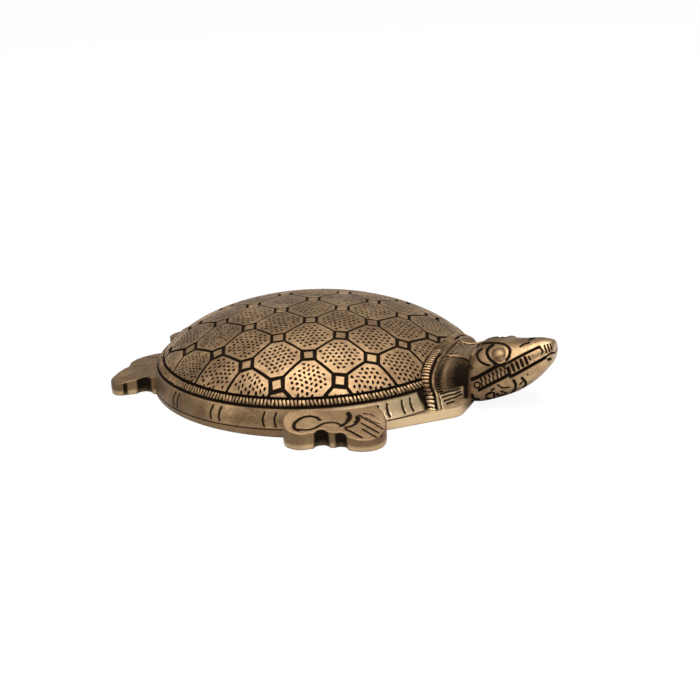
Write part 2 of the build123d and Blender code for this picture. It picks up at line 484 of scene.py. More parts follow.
def domeHeight(x, y, look=shellLook):
    across = look["domeRadius"] * look["widthShare"]
    rho = np.hypot((x - look["centre"]) / look["domeRadius"], y / across)
    moved = x + look["apexShift"] * (1 - np.clip(rho, 0, 1) ** 2)
    rho = np.clip(np.hypot((moved - look["centre"]) / look["domeRadius"], y / across), 0, 1)
    return look["domeBase"] + look["domeRise"] * (1 - rho ** look["fullness"]) ** look["roundness"]


def onDome(x, y, lift):
    step = 0.05
    slopeX = (domeHeight(x + step, y) - domeHeight(x - step, y)) / (2 * step)
    slopeY = (domeHeight(x, y + step) - domeHeight(x, y - step)) / (2 * step)
    length = np.sqrt(slopeX**2 + slopeY**2 + 1)
    z = domeHeight(x, y) + lift / length
    return np.stack([x - lift * slopeX / length, y - lift * slopeY / length, z], 1)


def tilted(places, look=shellLook):
    tilt = math.radians(look["tiltDegrees"])
    x, y, z = np.asarray(places, float).T
    x = x - look["rearSwell"] * falling(x, -12, 45) * rising(z, 0, look["bandHeight"])
    height = look["seamHeight"] + x * math.sin(tilt) + z * math.cos(tilt)
    return np.stack([x * math.cos(tilt) - z * math.sin(tilt), y, height], 1)


def bandRadius(share, look=shellLook):
    # the plain band leans inward and is a little swollen
    lean = (look["rimRadius"] - look["ropeRadius"]) * share**1.1
    return look["rimRadius"] - lean + look["bandSwell"] * 4 * share * (1 - share)


def settle(piece, metal, nodes=(), sharpDegrees=38):
    setPoints(piece, points(piece) * mm)
    piece.data.materials.clear()
    piece.data.materials.append(metal)
    startEdit(piece)
    endEdit()
    bpy.ops.object.shade_smooth_by_angle(angle=math.radians(sharpDegrees))
    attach(piece, "root")
    if nodes:
        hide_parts(*nodes)
    print("finished", piece.name, len(piece.data.polygons), "faces")


def extrudeRings(shell, columns, count):
    # count rings, one after the other from the mesh's first ring, and a cap on the last
    startEdit(shell, "DESELECT")
    bpy.ops.mesh.select_mode(type="VERT")
    bpy.ops.object.mode_set(mode="OBJECT")
    for vertex in shell.data.vertices[:columns]:
        vertex.select = True
    bpy.ops.object.mode_set(mode="EDIT")
    for ring in range(count):
        bpy.ops.mesh.extrude_region_move()
    bpy.ops.mesh.edge_face_add()
    bpy.ops.object.mode_set(mode="OBJECT")


def makeShellBody(look):
    rim, lip, wall = look["rimRadius"], look["bandHeight"], look["wall"]
    foot, top, base = look["ropeRadius"], look["domeRadius"], look["domeBase"]
    crown = base + look["domeRise"] - wall
    # the band, the floor of the rope border and the dome's floor
    outer = [(rim - 0.5, 0.0), (rim, 0.4)]
    for step in range(1, look["bandSteps"]):
        share = step / look["bandSteps"]
        outer.append((bandRadius(share), lip * share))
    outer += [(foot + 0.1, lip - 0.1), (foot - 0.75, lip - 0.05), (foot - 0.9, lip + 0.35),
              (foot - 0.75, lip + 0.75), (foot - 1.35, lip + 1.5), (top + 0.15, base - 0.75),
              (top - 0.55, base - 0.75), (top - 0.7, base - 0.35)]
    outer += [(top * rho, None) for rho in look["domeShares"]]
    hollow = [(rho * (top - wall), lip + (crown - lip) * (1 - rho**2.3) ** 0.8)
              for rho in look["hollowShares"]]
    bpy.ops.mesh.primitive_circle_add(vertices=look["columns"], radius=1, fill_type="NOTHING")
    shell = named("shellBody")
    circle = points(shell)
    for rings in (outer, hollow):
        extrudeRings(shell, look["columns"], len(rings))
    places = []
    for radius, height in [(rim - wall, 0.0)] + outer + hollow:
        x = look["centre"] + radius * circle[:, 0]
        y = radius * look["widthShare"] * circle[:, 1]
        if height is None:
            places.append(onDome(x, y, -look["engraved"]))
        else:
            places.append(np.column_stack([x, y, np.full(len(x), height)]))
    setPoints(shell, tilted(np.concatenate(places)))
    return shell


shellBody = makeShellBody(shellLook)
print("shell body", len(shellBody.data.polygons))

# the collar's arch, which the shell is cut for
collarLook = {
    "back": 51.7,
    "bend": 11.0,            # below this height the arch runs forward to its foot
    "leanUp": -0.26,         # above it the arch leans back onto the dome
    "leanDown": 0.45,
    "splay": 0.65,
    "halfWidth": 24.8,
    "height": 18.2,
    "leg": 8.0,
    "square": 2.6,           # 2 is a plain ellipse
    "bottom": 3.95,
    "gap": 0.12,
    "dot": (0.42, 0.4),      # half width and depth of the punched dots
    # along the neck from the collar's back, lift from the arch, patina
    "profile": [
        (0.0, -4.0, 1.0), (0.0, -0.75, 0.9), (0.3, -0.85, 1.0), (0.5, -0.4, 0.8),
        (1.95, -0.2, 0.45), (3.4, -0.4, 0.8), (3.6, -0.85, 1.0), (3.95, -1.0, 1.0),
        (4.1, -0.8, 0.6), (4.35, -0.5, 0.1), (4.75, -0.42, 0.0), (5.1, -0.6, 0.1),
        (5.3, -1.0, 0.5), (5.4, -1.9, 0.9), (5.4, -4.0, 1.0),
    ],
}


def collarLean(z, look=collarLook):
    z = np.asarray(z, float)
    return np.where(z > look["bend"], look["leanUp"] * (z - look["bend"]),
                    look["leanDown"] * (look["bend"] - z))


def underCollar(x, y, z, grow, look=collarLook):
    reach = look["halfWidth"] + grow
    crown = np.clip(1 - np.abs(y / reach) ** look["square"], 0, None) ** (1 / look["square"])
    top = np.maximum(look["leg"] + (look["height"] + grow - look["leg"]) * crown, look["bend"])
    wide = np.where(z < look["bend"], 50.0, reach)
    return (x > look["back"] + collarLean(z) - grow) & (np.abs(y) < wide) & (z < top)


def collarCutters(look):
    # two leaning prisms under the arch, above and below its bend
    grow, bend = look["gap"], look["bend"]
    cutters = []
    for low, high, lean, arched in ((bend, look["height"] + grow, look["leanUp"], True),
                                    (-6.0, bend + 0.01, -look["leanDown"], False)):
        side = []
        for z in np.linspace(low, high, 25):
            y = 50.0
            if arched:
                rise = (z - look["leg"]) / (look["height"] + grow - look["leg"])
                crown = max(1 - rise ** look["square"], 0) ** (1 / look["square"])
                y = max((look["halfWidth"] + grow) * crown, 0.01)
            side.append((look["back"] - grow + lean * (z - bend), y, z))
        outline = side + [(x, -y, z) for x, y, z in reversed(side)]
        cutters.append(prism("collarCutter", outline, (40, 0, 0)))
    return cutters


archCutters = collarCutters(collarLook)

# octagon and square plates of the dome
plateLook = {
    "pitch": 22.47,          # from one small square to the next along a row
    "turnDegrees": 20.96,
    "start": (3.15, -4.40),
    "squeeze": 0.107,
    "reach": 60.0,
    "groove": 1.05,
    "square": 3.75,
    "border": 0.997,
    "thick": 0.95,
    "bevel": 0.22,
    "rows": 6,
    # how far out a plate's middle may lie, as a share of the dome's radius
    "octagonReach": 1.17,
    "squareReach": 1.03,
    # full size at the top, and what the grooves take of it toward the border
    "octagonSize": (1.01, 0.026),
    "squareSize": (0.93, 1.05, 0.13),
    "plainTop": 0.3,
    "dashesFrom": -18.0,
    "cuts": 3,
    "cutStepDegrees": 3.5,
    "punches": [dict(zip(("cell", "turn", "stretch", "rim", "slope", "depth", "margin", "missing"), row))
                for row in (
                    (1.12, 8, 1.0, 0.47, 0.14, 0.4, 0.95, 0.0),
                    (1.17, 38, 1.0, 0.5, 0.14, 0.4, 0.95, 0.05),
                    (1.0, 66, 1.15, 0.44, 0.12, 0.38, 0.85, 0.08),
                    (0.66, -34, 1.5, 0.3, 0.09, 0.34, 0.8, 0.2),
                    (0.66, -22, 1.6, 0.31, 0.09, 0.34, 0.8, 0.35),
                    (0.9, 20, 1.1, 0.43, 0.1, 0.25, 1.1, 0.6))],
}


def latticePlace(u, v, look=plateLook):
    turn = math.radians(look["turnDegrees"])
    x = look["start"][0] + u * math.cos(turn) - v * math.sin(turn)
    y = look["start"][1] + u * math.sin(turn) + v * math.cos(turn)
    squeeze = 1 - look["squeeze"] * (np.hypot(x, y) / look["reach"]) ** 2 / 3
    return x * squeeze, y * squeeze


def octagonSides(look):
    # each side's direction and its distance from the middle
    diagonal = look["pitch"] / 2 / math.sqrt(2) - look["groove"] / 2
    straight = look["pitch"] / 2 - look["square"] / 2 - look["groove"]
    turns = [math.radians(45 * side) for side in range(8)]
    return [(math.cos(turn), math.sin(turn), diagonal if side % 2 else straight)
            for side, turn in enumerate(turns)]


def closePlate(look, size):
    # bevelled edge, wall and underside of a flat plate of the given size
    grow = 1 + 2 * look["bevel"] / size
    wall = look["bevel"] - look["thick"]
    bpy.ops.mesh.select_mode(type="EDGE")
    bpy.ops.mesh.select_all(action="DESELECT")
    bpy.ops.mesh.select_non_manifold()
    bpy.ops.mesh.extrude_edges_move(TRANSFORM_OT_translate={"value": (0, 0, -look["bevel"])})
    bpy.ops.transform.resize(value=(grow, grow, 1))
    bpy.ops.mesh.extrude_edges_move(TRANSFORM_OT_translate={"value": (0, 0, wall)})
    bpy.ops.mesh.edge_face_add()
    endEdit()


def handSet(comb):
    # hand-set rows wander a little
    places = points(comb)
    phase = [rand.uniform(0, 6.28) for count in range(4)]
    flat, swapped = places[:, :2].copy(), places[:, 1::-1].copy()
    slow = np.sin(swapped * (0.9, 0.8) + phase[:2])
    quick = np.sin(flat * (1.9, 2.1) + swapped * (0.7, -0.6) + phase[2:])
    places[:, :2] += 0.2 * slow + 0.09 * quick
    setPoints(comb, places)


def makePunchedPlate(name, look, punch):
    cell = punch["cell"]
    bpy.ops.mesh.primitive_circle_add(vertices=6, radius=cell, fill_type="NGON")
    comb = named(name)
    wide = cell * math.sqrt(3)
    across = int(2 * look["pitch"] / wide / 2) + 2
    up = int(look["pitch"] / (3 * cell)) + 2
    for offset, count in (((wide, 0, 0), across), ((0, 3 * cell, 0), up)):
        rows = comb.modifiers.new("rows", "ARRAY")
        rows.use_relative_offset, rows.use_constant_offset = False, True
        rows.constant_offset_displace = offset
        rows.count = count
    applyAll(comb)
    between = copyOf(comb)
    between.data.transform(Matrix.Translation((wide / 2, 1.5 * cell, 0)))
    comb = joined([comb, between], name)
    middle = points(comb).mean(axis=0)
    handSet(comb)
    comb.data.transform(spun(punch["turn"]) @ scaled(punch["stretch"], 1, 1)
                        @ Matrix.Translation((-middle[0], -middle[1], 0)))
    startEdit(comb)
    bpy.ops.mesh.remove_doubles(threshold=0.01)
    for x, y, reach in octagonSides(look):
        bpy.ops.mesh.select_all(action="SELECT")
        bpy.ops.mesh.bisect(plane_co=(x * reach, y * reach, 0), plane_no=(x, y, 0), clear_outer=True)
    bpy.ops.mesh.select_mode(type="FACE")
    bpy.ops.mesh.select_all(action="DESELECT")
    bpy.ops.object.mode_set(mode="OBJECT")
    whole = max(face.area for face in comb.data.polygons)
    for face in comb.data.polygons:
        inner = min(reach - (face.center.x * x + face.center.y * y)
                    for x, y, reach in octagonSides(look))
        face.select = (face.area > 0.4 * whole and inner > punch["margin"]
                       and rand.random() > punch["missing"])
    bpy.ops.object.mode_set(mode="EDIT")
    bpy.ops.mesh.inset(thickness=punch["rim"], use_individual=True, use_even_offset=False)
    bpy.ops.mesh.inset(
        thickness=punch["slope"], depth=-punch["depth"], use_individual=True, use_even_offset=False)
    closePlate(look, look["pitch"])
    places = points(comb)
    depth = -places[:, 2]
    past = np.max([places[:, 0] * x + places[:, 1] * y - reach
                   for x, y, reach in octagonSides(look)], axis=0)
    dark = np.where(past < -0.05, depth / punch["depth"], depth / look["bevel"] * 0.8)
    coat(comb, "patinaAndShade", dark)
    return comb


def makeSquarePlate(name, look):
    size = look["square"] - 2 * look["bevel"]
    bpy.ops.mesh.primitive_plane_add(size=size)
    plate = named(name)
    startEdit(plate)
    bpy.ops.mesh.subdivide(number_cuts=2)
    closePlate(look, size)
    coat(plate, "patinaAndShade", -points(plate)[:, 2] / look["bevel"] * 0.8)
    return plate


octagonPlates = [makePunchedPlate(f"punchedPlate{number}", plateLook, punch)
                 for number, punch in enumerate(plateLook["punches"])]
squarePlate = makeSquarePlate("squarePlate", plateLook)
print("plates modelled", [len(plate.data.polygons) for plate in octagonPlates])


def trimToBorder(plate, look, shell):
    # the plates at the edge are cut off along the border by a few straight cuts
    radius = shell["domeRadius"] * look["border"]
    share = shell["widthShare"]
    places = points(plate)
    outside = np.hypot(places[:, 0] - shell["centre"], places[:, 1] / share) > radius
    if not outside.any():
        return True
    if outside.all():
        return False
    middle = math.atan2(places[:, 1].mean() / share, places[:, 0].mean() - shell["centre"])
    startEdit(plate)
    for step in range(-look["cuts"], look["cuts"] + 1):
        turn = middle + math.radians(step * look["cutStepDegrees"])
        spot = (shell["centre"] + radius * math.cos(turn), radius * share * math.sin(turn), 0)
        out = Vector((math.cos(turn), math.sin(turn) / share, 0)).normalized()
        bpy.ops.mesh.select_all(action="SELECT")
        bpy.ops.mesh.bisect(plane_co=spot, plane_no=out, clear_outer=True, use_fill=True)
    bpy.ops.object.mode_set(mode="OBJECT")
    return len(plate.data.polygons) > 6


def bendOntoDome(plate):
    # the plate is bent, then cut for the collar; false when nothing is left of it
    setPoints(plate, tilted(onDome(*points(plate).T)))
    covered = underCollar(*points(plate).T, 0.3)
    if covered.any() and not covered.all():
        cutAway(plate, archCutters)
    return not covered.all() and len(plate.data.polygons) >= 5


def layPlates(look, shell):
    laid = []
    half = look["pitch"] / 2
    reach = range(-look["rows"], look["rows"] + 1)
    for row, column in [(row, column) for row in reach for column in reach]:
        u, v = column * half, -row * half
        x, y = latticePlace(u, v)
        rho = math.hypot((x - shell["centre"]) / shell["domeRadius"],
                         y / shell["domeRadius"] / shell["widthShare"])
        octagon = (row + column) % 2 == 0
        if rho > look["octagonReach" if octagon else "squareReach"]:
            continue
        if octagon:
            # round punches toward the head, fine dashes toward the tail
            kind = (row + column // 2) % 2
            if rho < look["plainTop"] and y > 0:
                kind = 5
            elif x < look["dashesFrom"]:
                kind += 3
            elif x < 0:
                kind = 2
            plate = copyOf(octagonPlates[kind])
            full, less = look["octagonSize"]
            size = full - less * float(rising(rho, 0.45, 0.4))
            turn = 90 * rand.randrange(4)
        else:
            plate = copyOf(squarePlate)
            small, full, less = look["squareSize"]
            size = rand.uniform(small, full) - less * float(rising(rho, 0.5, 0.3))
            turn = rand.uniform(-5, 5)
        plate.data.transform(spun(turn) @ scaled(size, size, 1))
        places = points(plate)
        flatX, flatY = latticePlace(u + places[:, 0], v + places[:, 1])
        setPoints(plate, np.stack([flatX, flatY, places[:, 2]], 1))
        if trimToBorder(plate, look, shell) and bendOntoDome(plate):
            laid.append(plate)
        else:
            discard(plate)
    return joined(laid, "shellPlates")


shellPlates = layPlates(plateLook, shellLook)
discard(squarePlate, *octagonPlates)
cutAway(shellBody, archCutters)
discard(*archCutters)
print("plates laid", len(shellPlates.data.polygons), "shell opened", len(shellBody.data.polygons))

# rope border: slanted bars between two grooves
ropeLook = {
    "pitch": 1.36,
    "bar": (0.98, 2.5, 1.1),
    "slantDegrees": 12,
    "wanderDegrees": 13,
    "lift": 0.12,
    "wearAndSheen": 0.45,            # toward the tail the bars are worn down
}


def makeBar(name, size):
    bpy.ops.mesh.primitive_cube_add(size=1)
    bar = named(name)
    bar.data.transform(scaled(*size))
    startEdit(bar)
    bpy.ops.mesh.bevel(offset=size[0] * 0.3, segments=2)
    endEdit()
    places = points(bar)
    # the bar's ends fall away like the side of a cord
    places[:, 2] -= 0.9 * np.abs(places[:, 1] / size[1]) ** 2 * size[2]
    setPoints(bar, places)
    coat(bar, "patinaAndShade", 0.75 * falling(places[:, 2] / size[2], 0.12, 0.5))
    return bar


def layBar(bar, spot, turn, lift, slantDegrees, sizes):
    copy = copyOf(bar)
    copy.data.transform(Matrix.Translation(spot) @ turn @ Matrix.Translation((0, 0, lift))
                        @ spun(slantDegrees) @ scaled(*sizes))
    return copy


def layRope(look, shell):
    bar = makeBar("ropeBar", look["bar"])
    radius = (shell["ropeRadius"] + shell["domeRadius"]) / 2
    height = (shell["bandHeight"] + shell["domeBase"]) / 2
    share = shell["widthShare"]
    turn = np.linspace(0, 2 * np.pi, 4001)
    run = runAlong(np.stack([radius * np.cos(turn), radius * share * np.sin(turn)], 1))
    count = int(round(run[-1] / look["pitch"]))
    laid = []
    for number in range(count):
        at = np.interp(number * run[-1] / count, run, turn)
        spot = (shell["centre"] + radius * math.cos(at), radius * share * math.sin(at), height)
        along = Vector((-math.sin(at), share * math.cos(at), 0)).normalized()
        out = Vector((along.y, -along.x, 0))
        uphill, face = (upward - out).normalized(), (upward + out).normalized()
        place = tilted([spot])[0]
        if underCollar(*place, 0.6):
            continue
        wearAndSheen = look["wearAndSheen"] * (1 - float(rising(place[0], -62, 22)))
        slant = look["slantDegrees"] + rand.uniform(-look["wanderDegrees"], look["wanderDegrees"])
        sizes = rand.uniform(0.78, 1.12), rand.uniform(0.88, 1.05), rand.uniform(0.85, 1.05)
        lift = look["lift"] - 0.35 * wearAndSheen
        copy = layBar(bar, spot, axes(along, uphill, face), lift, slant, sizes)
        setPoints(copy, tilted(points(copy)))
        coat(copy, "patinaAndShade", patinaAndShade(copy) + rand.uniform(0, 0.3) + 0.25 * wearAndSheen)
        laid.append(copy)
    discard(bar)
    return joined(laid, "ropeBorder")


ropeBorder = layRope(ropeLook, shellLook)
print("rope border laid")


def archPoint(turn, power):
    # across and up on an arch of half width 1 and height 1
    wide, tall = np.cos(turn), np.clip(np.sin(turn), 0, 1)
    return np.sign(wide) * np.abs(wide) ** power, tall**power


def archOnLegs(halfWidth, height, leg, bottom, splay, square, count):
    # from foot to foot, and the feet are splayed
    wide, tall = archPoint(np.linspace(0, np.pi, count), 2 / square)
    foot = halfWidth + splay * (leg - bottom)
    y = np.concatenate([[foot], halfWidth * wide, [-foot]])
    return y, np.concatenate([[bottom], leg + (height - leg) * tall, [bottom]])


def archCurve(look, bottom, count):
    # evenly spaced places along the collar's arch, its outward directions and its length
    y, z = archOnLegs(look["halfWidth"], look["height"], look["leg"], bottom, look["splay"],
                      look["square"], 400)
    run = runAlong(np.stack([y, z], 1))
    at = np.linspace(0, run[-1], count)
    line = np.stack([np.interp(at, run, y), np.interp(at, run, z)], 1)
    out = np.stack([np.gradient(line[:, 1]), -np.gradient(line[:, 0])], 1)
    return line, out / np.linalg.norm(out, axis=1)[:, None], run[-1]


def dotRows(rows, count, x, y, stepY, wander, stepX=1.45):
    # every other row is set off by half a step
    return [(x + stepX * row + rand.uniform(-wander, wander), y + stepY * (number + row % 2 / 2))
            for row in range(rows) for number in range(count)]


def makeCollar(look):
    line, out = archCurve(look, look["bottom"], 300)[:2]
    # on the neck's top the grooves fade and the collar is plain
    plain = falling(np.abs(line[:, 0]), 9.5, 3.0) * rising(line[:, 1], 12, 2)
    sections = np.zeros((len(line), len(look["profile"]), 3))
    profile = np.array(look["profile"])
    for column, (forward, lift) in enumerate(profile[:, :2]):
        if lift > -1.5:
            lift = (lift + (-0.35 - lift) * plain)[:, None]
        sections[:, column, 0] = look["back"] + forward + collarLean(line[:, 1])
        sections[:, column, 1:] = line + out * lift
    collar = sweptForm("collarArch", sections)
    x, y, z = points(collar).T
    forward = x - look["back"] - collarLean(z)
    dark = np.interp(forward, profile[1:-1, 0], profile[1:-1, 2])
    plain = falling(np.abs(y), 9.0, 3.0) * rising(z, 14, 1)
    coat(collar, "patinaAndShade", dark * (1 - plain) + 0.25 * plain)
    dots = dotRows(4, 8, 50.3, -5.6, 1.6, 0.2)
    engrave(collar, dropOnto(collar, [(*look["dot"], [spot]) for spot in dots]))
    return collar


# the collar's rope band, which fades out over the neck, and the cord on the neck
cordLook = {
    "pitch": 1.38,
    "bar": (1.02, 3.0, 1.0),
    "bottom": 3.9,
    "forward": 1.95,
    "lift": -0.12,
    "plainHalf": 4.6,
    "ridgeRadius": 0.5,
    "ridge": [(54.4, -13.6, 16.4), (54.6, -11.2, 16.9), (55.3, -9.0, 17.0), (56.8, -7.4, 16.6),
              (58.8, -6.9, 16.4), (61.0, -7.2, 16.6), (63.2, -8.3, 16.9), (64.8, -9.6, 17.0)],
}


def layCollarBars(look, collar):
    bar = makeBar("collarBar", look["bar"])
    line, out, length = archCurve(collar, look["bottom"], 2000)
    count = int(round(length / look["pitch"]))
    forward = Vector((1, 0, 0))
    laid = []
    for number in range(count + 1):
        index = min(int(number / count * (len(line) - 1)), len(line) - 1)
        y, z = line[index]
        fromTop = abs(y) if z > 12 else 99.0
        if fromTop < look["plainHalf"]:
            continue
        spot = (collar["back"] + look["forward"] + float(collarLean(z)), y, z)
        face = Vector((0, *out[index]))
        lift = look["lift"] - 0.4 * float(falling(fromTop, 8.0, 3.5))
        slant = rand.uniform(-7, 7)
        sizes = rand.uniform(0.86, 1.02), rand.uniform(0.95, 1.04), 1
        laid.append(layBar(bar, spot, axes(forward.cross(face), forward, face), lift, slant, sizes))
    discard(bar)
    return joined(laid, "collarBars")


def layNeckRidge(look, skin):
    # a thin cord from the arch's shoulder over the neck to the head, on both sides
    knots, radius = look["ridge"], look["ridgeRadius"]
    at = np.linspace(0, len(knots) - 1, 60)
    line = smoothPath(np.column_stack([np.arange(len(knots)), knots]), at)
    tops = dropOnto(skin, [(0, 0, [(x, y) for x, y, z in line])])[0][2]
    height = np.convolve(np.pad([z for x, y, z in tops], 4, "edge"), np.ones(9) / 9, "valid")
    line[:, 2] = np.maximum(height, line[:, 2]) + radius * 0.25
    run = np.gradient(line, axis=0)
    side = np.stack([-run[:, 1], run[:, 0], np.zeros(len(run))], 1)
    side /= np.linalg.norm(side, axis=1)[:, None]
    around = np.linspace(0, 2 * np.pi, 10, endpoint=False)[None, :, None]
    slim = radius * np.clip(np.sin(np.linspace(0.25, np.pi - 0.25, len(line))) * 3, 0.3, 1)
    ring = side[:, None, :] * np.cos(around) + np.array(upward) * np.sin(around)
    sections = line[:, None, :] + slim[:, None, None] * ring
    return joined([sweptForm("neckRidge", sections * (1, side, 1)) for side in (1, -1)], "neckRidge")


collarArch = makeCollar(collarLook)
collarBars = layCollarBars(cordLook, collarLook)
print("collar made")

# head and neck
headLook = {
    "back": 65.8,
    "stations": [      # ahead of the back: half width, underside, crown
        (0.0, 14.6, 1.0, 19.6), (1.2, 15.2, 0.8, 20.7), (2.7, 15.4, 0.9, 21.4),
        (9.2, 13.4, 2.6, 22.2), (16.2, 10.6, 5.6, 23.0), (22.7, 7.4, 10.4, 24.0),
        (27.7, 4.5, 16.2, 23.7),
    ],
    "section": [(0.5, 0.01), (0.9, 0.16), (1.0, 0.42), (0.87, 0.7), (0.5, 0.92)],
    "snoutRun": 1.4,
    "neck": [      # from the collar's front toward the head: half width, height
        (0.0, 23.8, 17.4), (0.6, 23.2, 17.3), (1.6, 21.4, 17.0), (3.0, 19.4, 16.9),
        (4.6, 17.6, 17.2), (5.6, 15.8, 17.8), (6.6, 14.2, 18.6), (8.4, 13.6, 19.6),
        (10.2, 12.6, 19.6),
    ],
    "neckBack": 56.9,
    "neckLeg": 7.4,
    "neckBottom": 2.2,
    "neckSplay": 0.5,
    "eye": (75.3, 6.9, 17.6),
    "eyeRadius": 3.6,
    "voxel": 0.25,
    "soften": 3,
    # where the painted shade, the painted highlights and the snout's polish start or end: place and run
    "coveFront": (66.2, 1.0),
    "coveStart": (1.7, 1.2),
    "facetTop": (9.0, 1.2),
    "facetFront": (64.4, 1.0),
    "neckTop": (13.5, 1.5),
    "neckSide": (7.6, 1.2),
    "cheekEnds": ((65.0, 1.0), (78.0, 6.0)),
    "jawEnds": ((15.0, 4.0), (79.0, 7.0)),
    "snoutStart": (88.5, 2.5),
    # how dark the painted shade is and how bright the painted highlights and the snout's polish are
    "coveShade": 0.58,
    "cheekShade": 0.33,
    "facetHighlight": 0.75,
    "jawHighlight": 0.35,
    "snoutBright": 0.25,
}


def headSection(look, halfWidth, underside, crown, count=96):
    rise = crown - underside
    side = [(halfWidth * out, underside + rise * up) for out, up in look["section"]]
    loop = [(0, underside), *side, (0, crown), *[(-y, z) for y, z in reversed(side)]]
    # three times round, so that the middle round closes smoothly
    size = len(loop)
    loop = np.array(loop * 3)
    run = runAlong(loop)
    at = np.linspace(run[size], run[2 * size], count, endpoint=False)
    return smoothPath(np.column_stack([run, loop]), at)


def makeSkull(look):
    # sections along X with a blunt rounded snout
    long, blunt = look["stations"][-1][0], look["snoutRun"]
    runs = list(np.arange(0, long - blunt, 0.5))
    runs += [long - blunt + blunt * math.sin(turn) for turn in np.linspace(0, 1.5, 7)]
    sections = []
    for run, (halfWidth, underside, crown) in zip(runs, smoothPath(look["stations"], runs)):
        atBack, atSnout = run / 1.1, (long - run) / blunt
        shrink = 1.0
        if atSnout < 1:
            shrink = 0.55 + 0.45 * math.sqrt(max(0, 1 - (1 - atSnout) ** 2))
        elif atBack < 1:
            shrink = 0.95 + 0.05 * math.sqrt(1 - (1 - atBack) ** 2)
        middle = (underside + crown) / 2
        y, z = headSection(look, halfWidth, underside, crown).T
        x = np.full(len(y), look["back"] + run)
        sections.append(np.column_stack([x, y * shrink, middle + (z - middle) * shrink]))
    return sweptForm("skull", np.array(sections))


def makeNeck(look, collar):
    # arched sections that flare back to the collar
    at = np.arange(look["neck"][0][0], look["neck"][-1][0] + 0.01, 0.4)
    sections = []
    for x, (halfWidth, height) in zip(at, smoothPath(look["neck"], at)):
        splay = look["neckSplay"] * float(falling(x, 6.2, 1.6))
        square = 2 + (collar["square"] - 2) * float(falling(x, 6, 6))
        y, z = archOnLegs(halfWidth, height, look["neckLeg"], look["neckBottom"], splay, square, 61)
        # the leaning collar's front fades into the upright back of the head
        lean = collarLean(z) * float(falling(x, 8, 8))
        sections.append(np.column_stack([look["neckBack"] + x + lean, y, z]))
    return sweptForm("neck", np.array(sections))


def makeHead(look):
    parts = [makeSkull(look), makeNeck(look, collarLook)]
    x, y, z = look["eye"]
    for side in (1, -1):
        bpy.ops.mesh.primitive_uv_sphere_add(segments=32, ring_count=20, radius=look["eyeRadius"])
        parts.append(named("eyeball"))
        parts[-1].data.transform(Matrix.Translation((x, side * y, z)))
    return oneSkin(joined(parts, "headCasting"), look["voxel"], look["soften"])


head = makeHead(headLook)
print("head form", len(head.data.polygons))
collarBars = joined([collarBars, layNeckRidge(cordLook, head)], "collarBars")
print("neck ridge laid")

